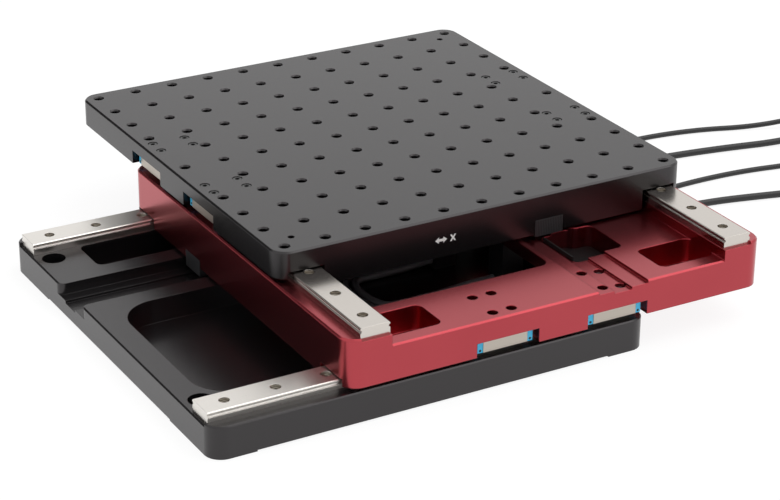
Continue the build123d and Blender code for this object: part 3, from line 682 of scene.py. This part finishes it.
finishes = {
    "black_anodised": blackAnodised(),
    "red_anodised": redAnodised(),
    "rail_steel": groundSteel("groundRailSteelX", finishLook["railSteelX"], 0.3, 0),
    "rail_steel_y": groundSteel("groundRailSteelY", finishLook["railSteelY"], 0.2, 1),
    "carriage_steel": groundSteel("milledCarriageSteel", finishLook["carriageSteel"], 0.34, 2),
    "blue_plastic": mouldedPlastic("blueCapNylon", finishLook["capBlue"], 0.38, 0.6, 0.15),
    "screw_steel": blackOxide(),
    # the rail screws' steel is painted darker than bright steel, as painted shade in the counterbores they sit
    # in
    "rail_screw_steel": plainMetal("railScrewSteelDarkenedAsShade", "#8a8479", 0.34, 2.0),
    "track_steel": plainMetal("nickelPlatedSteel", "#bdb9b0", 0.3, 8.0),
    "magnet": plainMetal("nickelPlatedMagnet", "#c9c6c0", 0.22, 5.0),
    "track_cap": ribbedPlug(),
    "coil_resin": mouldedPlastic("pottedCoilResin", "#22211f", 0.3, 3.0, 0.35),
    "bumper_rubber": mouldedPlastic("bumperRubber", "#1c1c1c", 0.75, 0.8, 0.4),
    "scale_steel": plainMetal("scaleSteel", "#cfc9bb", 0.2, 6.0),
    "head_black": mouldedPlastic("readHeadShell", "#17181a", 0.42, 0.5, 0.2),
    "gland_black": mouldedPlastic("strainReliefRubber", "#151515", 0.6, 0.6, 0.3),
    "clamp_plastic": mouldedPlastic("clampNylon", "#1a1a1b", 0.5, 0.7, 0.2),
    "cover_black": mouldedPlastic("mattSlotCover", "#050505", 0.7, 0.7, 0.3, shine=0.25),
    # the loops are the same black cables as the leads, their jacket painted mid grey as a painted highlight
    "loop_jacket": mouldedPlastic("loopJacketPaintedHighlight", "#6a6a6d", 0.3, 0.9, 0.15),
    "connector_metal": plainMetal("nickelPlatedBrass", "#a9a6a0", 0.3, 4.0),
    "cable_jacket": mouldedPlastic("pvcCableJacket", "#1a1a1b", 0.4, 0.9, 0.2),
    "pin_gold": plainMetal("goldPlatedPin", "#d9b25a", 0.25, 1.0),
    "white_ink": mouldedPlastic("padPrintedInk", "#f6f6f4", 0.5, 0.5, 0.1),
}


def paint(obj, finish):
    obj.data.materials.clear()
    obj.data.materials.append(finishes[finish])


ownFinishes = {
    "mid_rail_left": "rail_steel_y",
    "mid_rail_right": "rail_steel_y",
    "mid_slot_cover": "cover_black",
}
for node in nodes.values():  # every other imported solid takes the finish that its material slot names
    slotName = ownFinishes.get(node.name, node.data.materials[0].name)
    for slot in node.material_slots:
        slot.material = finishes[slotName]
for piece, finish in painted:
    paint(piece, finish)
print("finishes made:", len(finishes))

# Light: a bright room from every side, one large soft lamp overhead, and a grey card at the back left

lightLook = {
    "roomDiffuse": 0.74,  # how much of the room's white lights matt surfaces
    "roomSeen": 1.0,  # what the camera and shiny surfaces see
    "lampPower": 10,  # watts
    "lampPlace": (0.75, -0.25, 1.55),
    "lampAim": (0.08, 0.04, 0),
    "lampSize": 1.5,
    "cardPlace": (-0.72, 1.35, 0.66),
    "cardAim": (0, 0, 0.05),
    "cardSize": (1.3, 1.0),
    "cardGrey": "#606060",
    "cardPatch": "#585858",
    "floorDiffuse": 0.75,
    "floorGlow": 0.88,  # the white that the camera sees, and the rest of it keeps the shadow
    "floorShade": 0.17,
}


def seenDirectly(holder):  # 1 for what the camera, a shiny surface or a clear one sees
    path = addNode(holder, "ShaderNodeLightPath", {})
    seen = addNode(
        holder, "ShaderNodeMath", {0: path.outputs["Is Camera Ray"], 1: path.outputs["Is Glossy Ray"]},
        operation="MAXIMUM",
    )
    through = addNode(
        holder, "ShaderNodeMath", {0: seen.outputs[0], 1: path.outputs["Is Transmission Ray"]},
        operation="MAXIMUM",
    )
    return through.outputs[0]


def makeWorld(look):
    world = bpy.data.worlds.new("whiteRoom")
    scene.world = world
    world.use_nodes = True
    background = world.node_tree.nodes["Background"]
    background.inputs["Color"].default_value = (1, 1, 1, 1)
    level = addNode(
        world, "ShaderNodeMapRange",
        {"Value": seenDirectly(world), "To Min": look["roomDiffuse"], "To Max": look["roomSeen"]},
    )
    link(world, level.outputs["Result"], background.inputs["Strength"])


def makeLamp(look):
    data = bpy.data.lights.new("softLamp", "AREA")
    data.energy = look["lampPower"]
    data.size = look["lampSize"]
    lamp = bpy.data.objects.new("softLamp", data)
    lamp.location = look["lampPlace"]
    aim = Vector(look["lampAim"]) - lamp.location
    lamp.rotation_euler = aim.to_track_quat("-Z", "Y").to_euler()
    scene.collection.objects.link(lamp)


def makeCard(look):  # darkens what the plates' left sides reflect, and is seen in reflections only
    wide, high = look["cardSize"]
    form = bmesh.new()
    bmesh.ops.create_grid(form, x_segments=4, y_segments=4, size=0.5)
    bmesh.ops.scale(form, verts=form.verts, vec=(wide, high, 1))
    mesh = bpy.data.meshes.new("darkCard")
    form.to_mesh(mesh)
    form.free()
    card = bpy.data.objects.new("darkCard", mesh)
    card.location = look["cardPlace"]
    aim = Vector(look["cardAim"]) - card.location
    card.rotation_euler = aim.to_track_quat("Z", "Y").to_euler()
    scene.collection.objects.link(card)
    card.visible_camera = False
    card.visible_diffuse = False
    card.visible_shadow = False
    card.visible_transmission = False
    material, shader = startMaterial("greyFelt", Roughness=0.9)
    weave = addNode(material, "ShaderNodeTexNoise", {"Scale": 1 / mm(3), "Detail": 2.0})
    felt = addNode(
        material, "ShaderNodeMix",
        {"Factor": weave.outputs["Fac"], "A": linear(look["cardGrey"]), "B": linear(look["cardPatch"])},
        data_type="RGBA",
    )
    link(material, felt.outputs["Result"], shader.inputs["Base Color"])
    mesh.materials.append(material)


def makeFloor(look):
    # Pale matt floor: white to the camera and in reflections, with the stage's shadow kept on it
    mesh = bpy.data.meshes.new("floor")
    form = bmesh.new()
    bmesh.ops.create_grid(form, x_segments=8, y_segments=8, size=6)
    form.to_mesh(mesh)
    form.free()
    floor = bpy.data.objects.new("floor", mesh)
    floor.location.z = -0.0002
    scene.collection.objects.link(floor)
    material = bpy.data.materials.new("paleFloor")
    material.use_nodes = True
    material.node_tree.nodes.clear()
    pale = addNode(material, "ShaderNodeBsdfDiffuse", {"Color": (*[look["floorDiffuse"]] * 3, 1)})
    shadowed = addNode(material, "ShaderNodeBsdfDiffuse", {"Color": (*[look["floorShade"]] * 3, 1)})
    glow = addNode(material, "ShaderNodeEmission", {"Strength": look["floorGlow"]})
    white = addNode(material, "ShaderNodeAddShader", {0: shadowed.outputs[0], 1: glow.outputs[0]})
    both = addNode(
        material, "ShaderNodeMixShader", {0: seenDirectly(material), 1: pale.outputs[0], 2: white.outputs[0]},
    )
    addNode(material, "ShaderNodeOutputMaterial", {"Surface": both.outputs[0]})
    mesh.materials.append(material)


makeWorld(lightLook)
makeLamp(lightLook)
makeCard(lightLook)
makeFloor(lightLook)
scene.view_settings.view_transform = "Standard"
print("lights, card and floor set")
